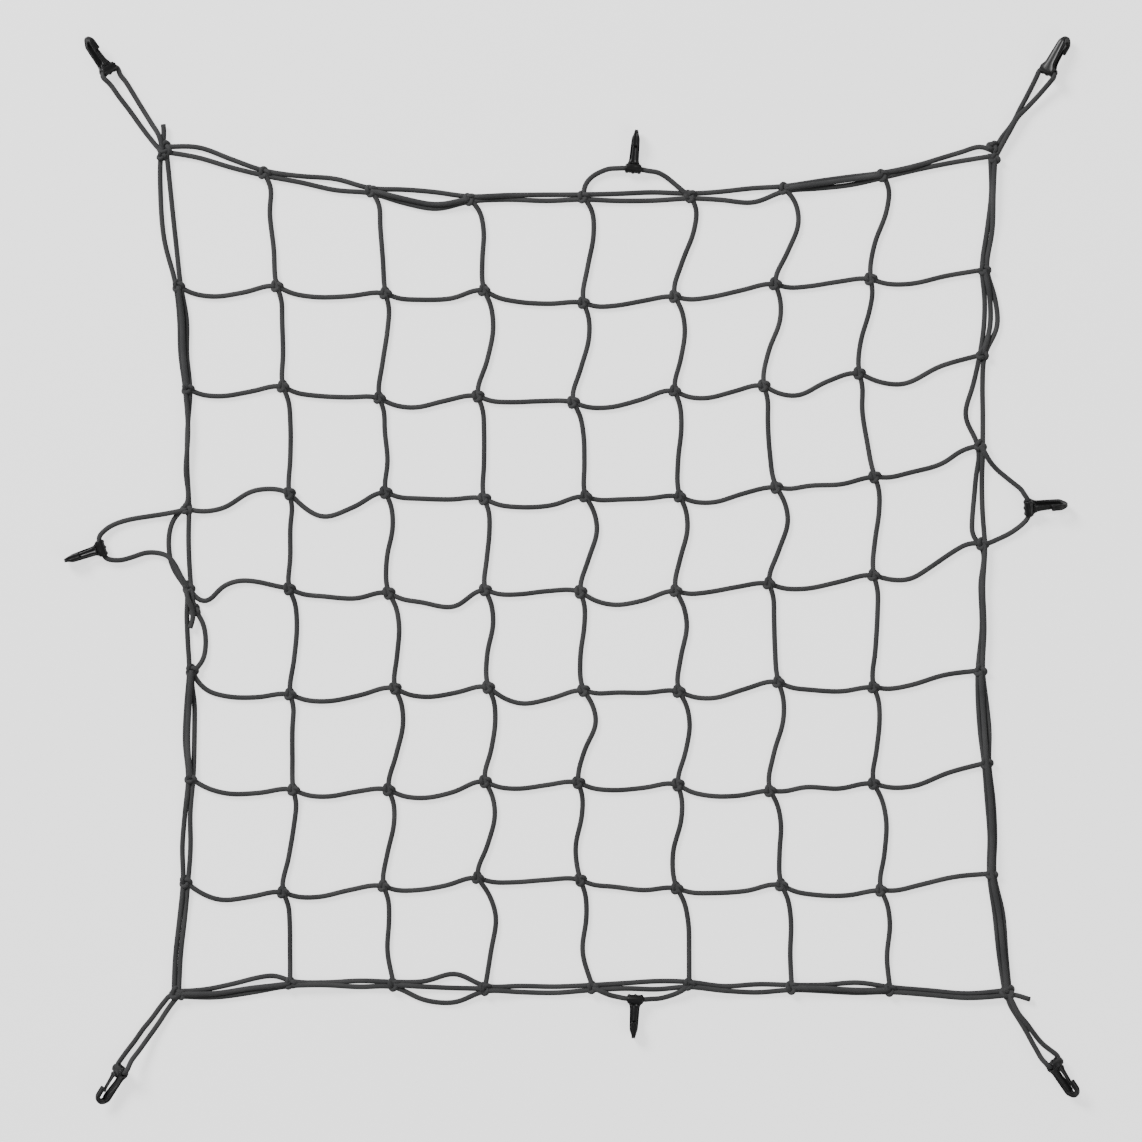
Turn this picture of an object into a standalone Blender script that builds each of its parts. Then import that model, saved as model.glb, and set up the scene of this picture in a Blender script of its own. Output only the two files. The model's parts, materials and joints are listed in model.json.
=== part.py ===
# Elastic cargo net: a square knotted mesh with a border cord and eight snap hooks.
#
# The net lies flat on the surface z = 0, with the centre of its outline at the origin.
# +X is to the right, +Y to the far edge and +Z up.  Mesh rows are counted from the far
# edge (0) to the near edge (8), mesh columns from left (0) to right (8).
# Tables are in millimetres; everything that is built is in metres.
import math
from collections import namedtuple

import bmesh
import bpy
from mathutils import Matrix, Vector

MM = 0.001

# ---- driving sizes -----------------------------------------------------------------
CELLS = 8                      # meshes along each side
PITCH = 100 * MM               # knot to knot on the even grid
CORD_RADIUS = 2.5 * MM         # 5 mm elastic cord
CORD_BEVEL_STEPS = 1           # six sides round the cord
CORD_HEIGHT = CORD_RADIUS * math.cos(math.pi / 6)   # a flat side lies on the surface
LANE = 5.6 * MM                # border cord beside the edge line, centre to centre
OVER_LIFT = 0.3 * MM           # a long cord lies this much higher all the way
CROSSING_LIFT = 5.2 * MM       # and rises this much more over each cross cord
END_SHARE = 0.058              # cord ends stop this share of a mesh short of the edge
FLAT_STOPS = (0.0, 1 / 3, 2 / 3)         # points on each mesh side of a flat cord
OVER_STOPS = (0.0, 0.17, 0.5, 0.83)      # and of one that rises at the crossings

HOOK_EYE_HALF = Vector((4.8 * MM, 6.0 * MM, 8.2 * MM))   # along, in-plane, across
HOOK_EYE_ROUND = 2.2 * MM      # rounding of the eye's long edges
HOOK_BORE_RADIUS = 3.1 * MM    # hole that the cord runs through
BOW_CENTRE = (30.6 * MM, 1.5 * MM)
BOW_OUTER = 7.5 * MM
BOW_INNER = 4.1 * MM
BOW_STEPS = 7                  # odd, so one facet is square to the hook's pull
SPINE_START = 2.0 * MM
SPINE_INNER_START = -1.8 * MM
NOSE_END = (22.8 * MM, 8.0 * MM, 5.4 * MM)   # along, outer side, inner side
BLADE_HALF_BASE = 4.5 * MM
BLADE_HALF_TIP = 2.5 * MM
GATE_PIVOT = (6.0 * MM, 4.7 * MM)
GATE_END = (25.6 * MM, 4.15 * MM)
GATE_HALF_THICK = 0.75 * MM
GATE_HALF_WIDE = 1.7 * MM
GATE_ROUND_STEPS = 4

# The hook's cord at its eye, in millimetres along the hook and across it.  At a corner
# of the net both legs come from behind and turn in; elsewhere they come from the sides.
TURN_INTO_EYE = ((-17, 7.5), (-10.5, 9.4), (-5.4, 11.1), (-1.6, 11.2), (0, 9.2), (0, 4))
RUN_INTO_EYE = ((-1.6, 15), (-0.3, 11.5), (0, 9), (0, 4))
CORD_TURN_REACH = 11.4 * MM    # how far across the hook the turning cord's line reaches
HOOK_CORD_DENSITY = 1.5        # points for each step of its route

# ---- how the net lies --------------------------------------------------------------
# How far each knot lies from the even grid.  Key: mesh row; columns: knots 0 to 8.
KNOT_RIGHT = {
    0: (7, 4, 7, 2, 12, 15, 6, 1, 7),
    1: (21, 16, 21, 16, 12, 0, -3, -11, -1),
    2: (30, 22, 15, 10, 2, 0, -14, -22, -3),
    3: (29, 28, 21, 16, 14, 5, -2, -7, -5),
    4: (31, 28, 24, 17, 9, 1, -9, -8, -3),
    5: (34, 29, 30, 20, 12, 4, 0, -8, -5),
    6: (33, 32, 24, 17, 7, 3, -8, -8, 1),
    7: (28, 22, 19, 10, 9, 2, 3, -1, 6),
    8: (19, 29, 29, 17, 21, 14, 13, 8, 21),
}
KNOT_UP = {
    0: (6, -17, -34, -42, -40, -39, -32, -19, 2),
    1: (-26, -26, -33, -30, -42, -36, -24, -19, -10),
    2: (-25, -23, -34, -32, -38, -27, -22, -10, 8),
    3: (-41, -26, -25, -31, -29, -29, -20, -10, 20),
    4: (-17, -18, -22, -19, -21, -20, -13, -5, 25),
    5: (3, -20, -14, -13, -16, -17, -8, -13, 3),
    6: (-1, -12, -12, -4, -5, -7, -13, -6, 14),
    7: (-1, -11, -5, 3, 1, -7, -4, -9, 7),
    8: (-9, 1, 0, -4, -3, 0, -3, -5, -8),
}

# How far each mesh side bows off its straight line, at one third and at two thirds of
# the way.  Cross cords run left to right and bow upwards; columns: mesh sides 1 to 8.
CROSS_BOW = {
    1: ((-10, -6), (-8, -5), (-8, -7), (-7, -5), (-6, -2), (-5, -3), (-4, -1), (-8, -4)),
    2: ((-8, -5), (-5, -3), (-10, -5), (-4, -1), (-9, -5), (-9, -5), (-15, -5), (-17, -6)),
    3: ((-5, 8), (-23, -14), (-5, -3), (-10, -8), (-3, -2), (-9, -3), (-3, -4), (-6, -6)),
    4: ((6, 7), (-7, -7), (-10, -16), (-5, 1), (-14, -9), (-5, -1), (-9, -5), (-14, -1)),
    5: ((-16, -10), (-10, -5), (-9, -5), (-15, -9), (-2, -3), (-11, -4), (-7, -7), (-4, 1)),
    6: ((-11, -8), (-7, -2), (-12, -8), (-7, -3), (-8, -4), (-10, -7), (1, -3), (-10, -3)),
    7: ((-14, -8), (-8, -2), (-7, -5), (-4, -1), (-4, -6), (-6, -5), (-8, -7), (-2, 3)),
}
# Long cords run from the far edge to the near one and bow to the right.
LONG_BOW = {
    1: ((1, 1), (3, 2), (5, 3), (1, 1), (7, 4), (1, 0), (4, 2), (4, 2)),
    2: ((4, 2), (5, 1), (3, 4), (6, -1), (8, 4), (10, 5), (7, 3), (2, -3)),
    3: ((9, 3), (11, 7), (4, 2), (6, 2), (7, 0), (8, 5), (12, 7), (15, 8)),
    4: ((10, 5), (9, 5), (6, 3), (13, 6), (3, -2), (12, 4), (4, -4), (2, -6)),
    5: ((9, 2), (10, 7), (5, 0), (9, 3), (10, 3), (11, 7), (4, -4), (8, 4)),
    6: ((17, 9), (9, 1), (0, -2), (14, 7), (2, 0), (8, 1), (7, 2), (7, 2)),
    7: ((8, 0), (3, -2), (-2, -2), (5, 1), (4, 2), (6, 3), (10, 6), (6, 0)),
}
# The mesh's own edge lines.  Far and near ones bow upwards, left and right ones to the
# right.
EDGE_BOW = {
    "far": ((2, -1), (-3, -5), (-9, -12), (-2, -3), (-4, -4), (-6, -9), (-4, -5), (-1, -1)),
    "near": ((2, 7), (1, 3), (4, 11), (2, 1), (3, 4), (-1, 2), (3, 6), (0, -1)),
    "left": ((2, 2), (5, 2), (1, 1), (1, 1), (8, 14), (3, 3), (1, 3), (2, 1)),
    "right": ((1, 0), (1, 1), (-8, -15), (-5, -8), (-1, 0), (-4, -4), (-1, 0), (-2, -3)),
}
# The border cord runs outside the edge line: how far it bows out from the knots' line.
BORDER_BOW = {
    "far": ((10, 6), (3, 4), (4, 4), (3, 3), (3, 4), (2, 3), (3, 3), (3, 6)),
    "near": ((7, 6), (2, 3), (14, 15), (4, 5), (3, 4), (5, 6), (3, 4), (5, 6)),
    "left": ((6, 7), (3, 4), (0, 0), (18, 17), (3, 3), (5, 7), (4, 6), (3, 4)),
    "right": ((4, 5), (11, 14), (2, 2), (2, 1), (3, 3), (4, 5), (5, 5), (6, 4)),
}

# One row for each snap hook.  x, y: centre of its eye; heading: which way it points;
# roll: 0 lies on its side, 90 stands on its spine, below 0 has the nose down; nose: +1
# when the nose is on the left of the heading; legs: the two cord legs, from the net to
# the hook's eye.
Hook = namedtuple("Hook", "name x y heading roll nose legs")
HOOKS = (
    Hook("far", 60, 387, 85, 90, 1,
         (((105, 373), (92, 380), (81, 384)), ((17, 374), (25, 382), (36, 386)))),
    Hook("near", 62, -414, -93, 90, 1,
         (((37, -417), (43, -415)), ((108, -414), (96, -415), (85, -415)))),
    Hook("left", -453, 21, 199, 90, 1,
         (((-386, 54), (-410, 51), (-433, 47)), ((-396, 15), (-409, 16), (-431, 10)))),
    Hook("right", 441, 60, 6, 68, -1,
         (((410, 28), (422, 33), (434, 42)), ((407, 100), (418, 86), (432, 77)))),
    Hook("far_left", -446, 482, 126, 62, -1,
         (((-399, 424), (-417, 450)), ((-404, 415), (-426, 443)))),
    Hook("far_right", 460, 481, 61, -52, -1,
         (((419, 433), (434, 457)), ((427, 428), (443, 452)))),
    Hook("near_left", -434, -482, -121, 37, -1,
         (((-397, -423), (-416, -449)), ((-392, -430), (-410, -455)))),
    Hook("near_right", 466, -476, -58, 46, 1,
         (((428, -430), (441, -454)), ((432, -425), (447, -446)))),
)

CORD_COLOUR = (0.055, 0.057, 0.060, 1.0)
HOOK_COLOUR = (0.012, 0.012, 0.013, 1.0)

UP = Vector((0, 0, 1))
RIGHTWARDS = Vector((1, 0, 0))
FARWARDS = Vector((0, 1, 0))


# ---- materials ---------------------------------------------------------------------
def make_material(name, colour, roughness):
    material = bpy.data.materials.new(name)
    material.use_nodes = True
    shader = material.node_tree.nodes["Principled BSDF"]
    shader.inputs["Base Color"].default_value = colour
    shader.inputs["Roughness"].default_value = roughness
    shader.inputs["Metallic"].default_value = 0.0
    return material


# ---- smooth lines ------------------------------------------------------------------
def on_smooth_line(stations, t):
    # Point at t on a Catmull-Rom curve; whole numbers of t are the stations.
    last = len(stations) - 1
    i = min(int(t), last - 1)
    s = t - i
    b, c = stations[i], stations[i + 1]
    a = stations[i - 1] if i > 0 else b * 2 - c
    d = stations[i + 2] if i + 2 <= last else c * 2 - b
    return 0.5 * ((2 * b) + (c - a) * s + (2 * a - 5 * b + 4 * c - d) * s ** 2
                  + (3 * b - a - 3 * c + d) * s ** 3)


def knot(row, column):
    half = CELLS / 2
    x = (column - half) * PITCH + KNOT_RIGHT[row][column] * MM
    y = (half - row) * PITCH + KNOT_UP[row][column] * MM
    return Vector((x, y, CORD_HEIGHT))


def bowed_stations(knots, bows, across):
    # The knots with two more stations on each mesh side, moved across by the bow.
    stations = []
    for start, end, (early, late) in zip(knots, knots[1:], bows):
        stations.append(start)
        stations.append(start.lerp(end, 1 / 3) + across * early * MM)
        stations.append(start.lerp(end, 2 / 3) + across * late * MM)
    stations.append(knots[-1])
    return stations


def line_shares(stops, cut_ends):
    # Where a cord has its points, counted in mesh sides from its first knot.
    shares = [cell + stop for cell in range(CELLS) for stop in stops] + [CELLS]
    if cut_ends:
        shares[0] = END_SHARE
        shares[-1] = CELLS - END_SHARE
    return shares


def line_points(stations, shares):
    return [on_smooth_line(stations, share * 3) for share in shares]


# ---- cords -------------------------------------------------------------------------
def cord_object(name, points, material, twist_mode="Z_UP"):
    curve = bpy.data.curves.new(name, "CURVE")
    curve.dimensions = "3D"
    curve.twist_mode = twist_mode
    curve.bevel_depth = CORD_RADIUS
    curve.bevel_resolution = CORD_BEVEL_STEPS
    curve.use_fill_caps = True
    spline = curve.splines.new("POLY")
    spline.points.add(len(points) - 1)
    for target, point in zip(spline.points, points):
        target.co = (*point, 1.0)
    spline.use_smooth = True
    curve.materials.append(material)
    cord = bpy.data.objects.new(name, curve)
    bpy.context.collection.objects.link(cord)
    return cord


def cross_cords(material):
    shares = line_shares(FLAT_STOPS, True)
    for row, bows in CROSS_BOW.items():
        knots = [knot(row, column) for column in range(CELLS + 1)]
        stations = bowed_stations(knots, bows, FARWARDS)
        cord_object(f"cross_cord_{row}", line_points(stations, shares), material)


def long_cords(material):
    shares = line_shares(OVER_STOPS, True)
    for column, bows in LONG_BOW.items():
        knots = [knot(row, column) for row in range(CELLS + 1)]
        stations = bowed_stations(knots, bows, RIGHTWARDS)
        points = line_points(stations, shares)
        for point, share in zip(points, shares):
            at_crossing = share == int(share)
            point.z += OVER_LIFT + (CROSSING_LIFT if at_crossing else 0.0)
        cord_object(f"long_cord_{column}", points, material)


def side_knots(side):
    if side in ("far", "near"):
        row = 0 if side == "far" else CELLS
        return [knot(row, column) for column in range(CELLS + 1)]
    column = 0 if side == "left" else CELLS
    return [knot(row, column) for row in range(CELLS + 1)]


def edge_cords(material):
    outwards = {"far": FARWARDS, "near": -FARWARDS, "left": -RIGHTWARDS, "right": RIGHTWARDS}
    for side, out in outwards.items():
        across = FARWARDS if side in ("far", "near") else RIGHTWARDS
        shares = line_shares(FLAT_STOPS, side in ("left", "right"))
        knots = side_knots(side)
        edge = line_points(bowed_stations(knots, EDGE_BOW[side], across), shares)
        border = line_points(bowed_stations(knots, BORDER_BOW[side], out), shares)
        for inner, outer in zip(edge, border):
            gap = (outer - inner).dot(out)
            outer += out * max(0.0, LANE - gap)
        cord_object(f"edge_cord_{side}", edge, material)
        cord_object(f"border_cord_{side}", border, material)


# ---- snap hooks --------------------------------------------------------------------
def blade_half(along):
    # Half the blade's thickness, from its thick base to its thin bow.
    reach = BOW_CENTRE[0] + BOW_OUTER - HOOK_EYE_HALF.x
    share = min(max((along - HOOK_EYE_HALF.x) / reach, 0.0), 1.0)
    return BLADE_HALF_BASE + (BLADE_HALF_TIP - BLADE_HALF_BASE) * share


def blade_pairs():
    # (outer, inner) points down the spine, round the bow and back along the nose.
    spine_outer = BOW_CENTRE[1] - BOW_OUTER
    pairs = [((SPINE_START, spine_outer), (SPINE_START, SPINE_INNER_START))]
    for step in range(BOW_STEPS + 1):
        angle = math.pi * (step / BOW_STEPS - 0.5)
        turn = (math.cos(angle), math.sin(angle))
        pairs.append(tuple(tuple(centre + radius * part for centre, part in zip(BOW_CENTRE, turn))
                           for radius in (BOW_OUTER, BOW_INNER)))
    pairs.append(((NOSE_END[0], NOSE_END[1]), (NOSE_END[0], NOSE_END[2])))
    return pairs


def blade_mesh(bm):
    rings = []
    for outer, inner in blade_pairs():
        corners = ((outer, -1), (outer, 1), (inner, 1), (inner, -1))
        rings.append([bm.verts.new((u, v, side * blade_half(u))) for (u, v), side in corners])
    for ring, following in zip(rings, rings[1:]):
        for i in range(4):
            j = (i + 1) % 4
            bm.faces.new((ring[i], ring[j], following[j], following[i]))
    bm.faces.new(rings[0])
    bm.faces.new(rings[-1])
    bmesh.ops.recalc_face_normals(bm, faces=bm.faces)


def eye_mesh(bm):
    bmesh.ops.create_cube(bm, size=2)
    bmesh.ops.scale(bm, verts=bm.verts, vec=HOOK_EYE_HALF)
    long_edges = [edge for edge in bm.edges
                  if abs(edge.verts[0].co.z - edge.verts[1].co.z) > HOOK_EYE_HALF.z
                  and edge.verts[0].co.y > 0]
    bmesh.ops.bevel(bm, geom=long_edges, offset=HOOK_EYE_ROUND, segments=2, profile=0.5,
                    affect="EDGES", material=-1)


def bore_mesh(bm):
    bmesh.ops.create_cone(bm, cap_ends=True, segments=12, radius1=HOOK_BORE_RADIUS,
                          radius2=HOOK_BORE_RADIUS, depth=HOOK_EYE_HALF.z * 3)


def scratch_object(name, fill):
    bm = bmesh.new()
    fill(bm)
    mesh = bpy.data.meshes.new(name)
    bm.to_mesh(mesh)
    bm.free()
    scratch = bpy.data.objects.new(name, mesh)
    bpy.context.collection.objects.link(scratch)
    return scratch


def hook_mesh():
    # Blade and eye joined, with the cord's bore cut through the eye.
    blade = scratch_object("hook_blade", blade_mesh)
    eye = scratch_object("hook_eye", eye_mesh)
    bore = scratch_object("hook_bore", bore_mesh)
    for name, operation, other in (("join", "UNION", eye), ("bore", "DIFFERENCE", bore)):
        boolean = blade.modifiers.new(name, "BOOLEAN")
        boolean.operation = operation
        boolean.object = other
    graph = bpy.context.evaluated_depsgraph_get()
    mesh = bpy.data.meshes.new_from_object(blade.evaluated_get(graph))
    for scratch in (blade, eye, bore):
        bpy.data.objects.remove(scratch)
    return mesh


def gate_mesh():
    # A thin tongue, round at its root, drawn from its own pivot.
    bm = bmesh.new()
    reach = Vector((GATE_END[0] - GATE_PIVOT[0], GATE_END[1] - GATE_PIVOT[1]))
    slope = math.atan2(reach.y, reach.x)
    outline = [(reach.length, -GATE_HALF_THICK), (reach.length, GATE_HALF_THICK)]
    for step in range(GATE_ROUND_STEPS + 1):
        angle = math.pi * (0.5 + step / GATE_ROUND_STEPS)
        outline.append((GATE_HALF_THICK * math.cos(angle), GATE_HALF_THICK * math.sin(angle)))
    base = bm.faces.new([bm.verts.new((u, v, -GATE_HALF_WIDE)) for u, v in outline])
    raised = bmesh.ops.extrude_face_region(bm, geom=[base])
    top = [item for item in raised["geom"] if isinstance(item, bmesh.types.BMVert)]
    bmesh.ops.translate(bm, verts=top, vec=(0, 0, 2 * GATE_HALF_WIDE))
    bmesh.ops.rotate(bm, verts=bm.verts, matrix=Matrix.Rotation(slope, 3, "Z"))
    bmesh.ops.recalc_face_normals(bm, faces=bm.faces)
    mesh = bpy.data.meshes.new("hook_gate")
    bm.to_mesh(mesh)
    bm.free()
    return mesh


def hook_turn(hook):
    # Columns: along the hook, across its plane to the nose, and through its plane.
    heading = math.radians(hook.heading)
    roll = math.radians(hook.roll)
    along = Vector((math.cos(heading), math.sin(heading), 0))
    beside = UP.cross(along) * hook.nose
    nosewards = beside * math.cos(roll) + UP * math.sin(roll)
    through = along.cross(nosewards)
    return Matrix((along, nosewards, through)).transposed()


def hook_place(hook, turn, mesh):
    # Low enough to touch the surface, or high enough for the cord under its eye.
    lowest = min((turn @ vertex.co).z for vertex in mesh.vertices)
    cord_under_eye = abs(turn[2][2]) * CORD_TURN_REACH + CORD_RADIUS
    height = max(-lowest, cord_under_eye)
    return Vector((hook.x * MM, hook.y * MM, height))


def leg_points(hook, turn, place, leg, side):
    # From the net to the middle of the eye's bore, on the side that side names.
    route = TURN_INTO_EYE if "_" in hook.name else RUN_INTO_EYE
    into_eye = [place + turn @ Vector((along * MM, 0, side * across * MM))
                for along, across in route]
    lift = into_eye[0].z - CORD_RADIUS
    on_floor = []
    for i, (x, y) in enumerate(leg):
        share = i / len(leg)
        on_floor.append(Vector((x * MM, y * MM, CORD_RADIUS + lift * share ** 2)))
    return on_floor + into_eye


def hook_cord(hook, turn, place, material):
    first, second = hook.legs
    stations = leg_points(hook, turn, place, first, 1)
    stations += reversed(leg_points(hook, turn, place, second, -1))
    last = len(stations) - 1
    count = round(HOOK_CORD_DENSITY * last)
    points = [on_smooth_line(stations, last * i / count) for i in range(count + 1)]
    cord_object(f"hook_cord_{hook.name}", points, material, "MINIMUM")


def snap_hooks(cord_material, hook_material):
    body_mesh = hook_mesh()
    tongue_mesh = gate_mesh()
    for mesh in (body_mesh, tongue_mesh):
        mesh.materials.clear()
        mesh.materials.append(hook_material)
    for hook in HOOKS:
        turn = hook_turn(hook)
        place = hook_place(hook, turn, body_mesh)
        body = bpy.data.objects.new(f"hook_{hook.name}", body_mesh)
        body.matrix_world = Matrix.Translation(place) @ turn.to_4x4()
        bpy.context.collection.objects.link(body)
        gate = bpy.data.objects.new(f"gate_{hook.name}", tongue_mesh)
        pivot = place + turn @ Vector((*GATE_PIVOT, 0))
        gate.matrix_world = Matrix.Translation(pivot) @ turn.to_4x4()
        bpy.context.collection.objects.link(gate)
        hook_cord(hook, turn, place, cord_material)


def build():
    for old in list(bpy.data.objects):
        bpy.data.objects.remove(old)
    cord_material = make_material("elastic_cord", CORD_COLOUR, 0.85)
    hook_material = make_material("hook_plastic", HOOK_COLOUR, 0.38)
    cross_cords(cord_material)
    long_cords(cord_material)
    edge_cords(cord_material)
    snap_hooks(cord_material, hook_material)


build()
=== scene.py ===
import json
import math
import random

import bmesh
import bpy
from mathutils import Matrix, Vector
from mathutils.geometry import interpolate_bezier


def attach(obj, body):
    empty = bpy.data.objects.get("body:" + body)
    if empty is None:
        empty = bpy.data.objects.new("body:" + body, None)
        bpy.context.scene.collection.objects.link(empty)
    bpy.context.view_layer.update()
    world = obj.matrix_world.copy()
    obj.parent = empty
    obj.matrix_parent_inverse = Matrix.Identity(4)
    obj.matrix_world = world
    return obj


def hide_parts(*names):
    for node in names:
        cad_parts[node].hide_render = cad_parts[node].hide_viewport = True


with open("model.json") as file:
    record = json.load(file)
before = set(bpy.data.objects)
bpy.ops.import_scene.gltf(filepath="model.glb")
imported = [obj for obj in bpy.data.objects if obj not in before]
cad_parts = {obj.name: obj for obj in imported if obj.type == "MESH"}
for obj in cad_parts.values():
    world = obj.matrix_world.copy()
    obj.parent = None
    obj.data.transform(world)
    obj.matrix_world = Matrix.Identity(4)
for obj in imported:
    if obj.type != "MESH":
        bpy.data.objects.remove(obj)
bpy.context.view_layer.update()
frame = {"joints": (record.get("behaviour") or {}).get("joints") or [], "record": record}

mm = 0.001
record = frame["record"]

view = {
    "centre": (0.0, -0.001),
    "height": 4.0,  # far off, so the net is seen straight on
    "lens": 130.5,
    "floorSize": 14.0,
    "floorColour": (0.93, 0.93, 0.93, 1),
    "floorGlow": (1.35, 1.35, 1.35, 1),
    "keyPlace": (-3.2, 3.6, 3.8),
    "keySize": 2.4,
    "keyPower": 350,
    "fillPlace": (4.0, -3.0, 4.4),
    "fillSize": 4.0,
    "fillPower": 85,
    "sky": 0.25,
}

cordLooks = {
    "diameter": 5.0 * mm,
    "roundSteps": 5,  # 14 sides
    "spacing": 3.4 * mm,  # between the rings of a tube
    "bendSpacing": 1.7 * mm,  # the same where a cord turns into a hook
    "knotReach": 9.0 * mm,  # strands this near a knot go into it
    "knotHeight": 4.6 * mm,
    "knotRise": 20.0 * mm,  # the way a strand takes to come up to a knot
    "humpSlope": 0.26,
    "crossRise": 1.4 * mm,  # cross cords lift inside a knot
    "longRise": 3.3 * mm,  # and long cords are squeezed over them
    "pairGap": 2.35 * mm,  # edge and border pass a knot this far off its middle
    "leaving": 2.3,  # how far aside a mesh cord leaves a knot, in millimetres
    "leavingEdge": 4.2,
    "leavingAt": 0.11,  # share of the way where that swing is
    "leavingBow": 0.35,  # share of the bow that is added to it
    "thirdRise": 1.5 * mm,  # a third strand rides over the other two at a knot
    "curveSteps": 25,  # per stretch between two stations
    "softening": 4,  # passes that even out the bends of a line
    "humpSoftening": 6,  # and its heights
    "hookReach": 16.0 * mm,  # nearer than this to a hook a cord hangs free of the floor
}

# How far each knot lies from the even 100 mm grid, mesh rows from the far edge
cells = 8
pitch = 100.0
knotRight = {
    0: (7, 4, 7, 2, 12, 15, 6, 1, 7),
    1: (21, 16, 21, 16, 12, 0, -3, -11, -1),
    2: (30, 22, 15, 10, 2, 0, -14, -22, -3),
    3: (29, 28, 21, 16, 14, 5, -2, -7, -5),
    4: (31, 28, 24, 17, 9, 1, -9, -8, -3),
    5: (34, 29, 30, 20, 12, 4, 0, -8, -5),
    6: (33, 32, 24, 17, 7, 3, -8, -8, 1),
    7: (28, 22, 19, 10, 9, 2, 3, -1, 6),
    8: (19, 29, 29, 17, 21, 14, 13, 8, 21),
}
knotUp = {
    0: (6, -17, -34, -42, -40, -39, -32, -19, 2),
    1: (-26, -26, -33, -30, -42, -36, -24, -19, -10),
    2: (-25, -23, -34, -32, -38, -27, -22, -10, 8),
    3: (-41, -26, -25, -31, -29, -29, -20, -10, 20),
    4: (-17, -18, -22, -19, -21, -20, -13, -5, 25),
    5: (3, -20, -14, -13, -16, -17, -8, -13, 3),
    6: (-1, -12, -12, -4, -5, -7, -13, -6, 14),
    7: (-1, -11, -5, 3, 1, -7, -4, -9, 7),
    8: (-9, 1, 0, -4, -3, 0, -3, -5, -8),
}

# How far each mesh side bows off its straight line, a third and two thirds along it.
# A stretch that isn't a plain bow has its own points instead.
crossBows = {
    1: ((-10, -6), (-8, -5), (-7, -7), (-7, -5), (-5, -2), (-5, -2), (-4, -1), (-8, -3)),
    2: ((-8, -4), (-5, -3), (-10, -4), (-4, -1), (-9, -5), (-9, -4), (-14, -4), (-17, -5)),
    3: ((-5, 8), (-23, -14), (-4, -3), (-9, -8), (-3, -2), (-9, -3), (-2, -4),
        ((304, 89), (327, 94), (361, 104), (376.4, 114.8), (385.5, 118.3))),
    4: (((-362, -27), (-355, -31), (-334, -14.5), (-322, -10.5), (-302, -11.5), (-285, -15.5)), (-6, -7),
        (-10, -16), (-4, 0), (-13, -9), (-4, -1), (-8, -4),
        ((303.6, -8.5), (327, -9), (346, 2), (362, 13), (373.8, 20.6), (382, 25), (389.5, 26.3))),
    5: (((-361, -107), (-352, -116), (-333, -122), (-303, -123)), (-9, -5), (-9, -5), (-15, -9),
        (-2, -2), (-10, -4), (-6, -6), (-4, 1)),
    6: ((-11, -7), (-7, -2), (-11, -8), (-7, -3), (-7, -4), (-9, -7), (1, -3), (-10, -3)),
    7: ((-14, -8), (-7, -2), (-7, -5), (-4, -1), (-4, -5), (-6, -5), (-8, -7), (-1, 2)),
}
longBows = {
    1: ((1, 1), (3, 2), (5, 3), (1, 1), (7, 4), (1, 0), (4, 2), (4, 2)),
    2: ((4, 2), (4, 1), (3, 4), (6, -1), (8, 4), (10, 5), (7, 2), (2, -3)),
    3: ((9, 3), (11, 7), (4, 2), (5, 2), (7, 0), (8, 5), (12, 7), (15, 8)),
    4: ((10, 4), (9, 4), (6, 3), (13, 6), (3, -2), (14, 4), (3, -4), (2, -6)),
    5: ((9, 2), (10, 6), (5, 0), (9, 3), (10, 3), (11, 7), (4, -4), (7, 4)),
    6: ((17, 9), (9, 1), (0, -2), (14, 7), (2, 0), (8, 1), (7, 2), (6, 2)),
    7: ((8, 0), (3, -2), (-2, -2), (5, 1), (4, 2), (6, 3), (10, 6), (6, 0)),
}

# The two strands of each side, and the third strand that some stretches have
netSides = {
    "far": {
        "edge": ((0, -2), (-3, -5), (-9, -12), (-1, -3), (-4, -4), (-6, -11), (-4, -5), (-1, -1)),
        "border": ((10, 6), (3, 6), (4, 4), (3, 3), (3, 4), (2, 3), (3, 3),
                   ((338, 391.5), (356.5, 397.4), (378.4, 403.9), (397, 409))),
        "third": {2: ((-5, -8),), 6: ((0, 0),)},
    },
    "near": {
        "edge": (((-358.5, -405.7), (-323.7, -399), (-300.6, -393.2), (-286, -391.5)), (1, 3), (4, 13),
                 (2, 1), (3, 4), (-1, 2), (3, 6), (0, -2)),
        "border": ((-7, -5.5), (-1, -3), (-14, -15), (-4, -5), (-2, -4), (-5, -6), (-3, -4), (-4, -6)),
        "third": {0: ((-3, -1),), 2: ((-1, -1),), 6: ((0, -1),)},
    },
    "left": {
        "edge": ((2, 2), (5, 2), (0, 0), (1, 1),
                 ((-365, -30), (-362, -40), (-356, -49), (-353, -62), (-353, -77), (-356, -89)),
                 (3, 3), (1, 3), (2, 1)),
        "border": ((-8, -9), (-2, -4), (1, -1),
                   ((-378, 56), (-384.1, 48.3), (-388, 35.4), (-388.3, 20), (-385.4, 4.5), (-379, -7.1)),
                   (-3, -3), (-5, -6), (-4, -5), (-3, -4)),
        "third": {1: ((1, -1),), 5: ((-2, -3),)},
    },
    "right": {
        "edge": ((1.6, 0), (1, 1), (-8, -15),
                 ((394, 108), (391.9, 96.6), (389.3, 70.8), (387.2, 45), (387.2, 35), (390.5, 28.5)),
                 (-1, 1), (-4, -4), (-1, 0), (-2, -3)),
        "border": ((3.1, 5), (11, 14), (1, 2), (1, 1), (1, 3), (4, 5), (5, 5), (6, 4)),
        "third": {1: ((6, 7),), 5: ((0, 0), (2, 2), (2, 1))},
    },
}
looseEnds = {  # tails that stand out of a corner knot, and the end left at the splice
    "farLeftTail": ((-393.5, 430, 5.5), (-392.5, 420, 6.5)),
    "nearRightTail": ((428, -409.5, 6.5), (435, -412, 5), (443, -414.5, 4)),
    "splice": ((-371, -20, 5), (-369, -29, 4), (-365.5, -36, 5), (-364.5, -45, 6), (-367.5, -56, 3)),
}

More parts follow.
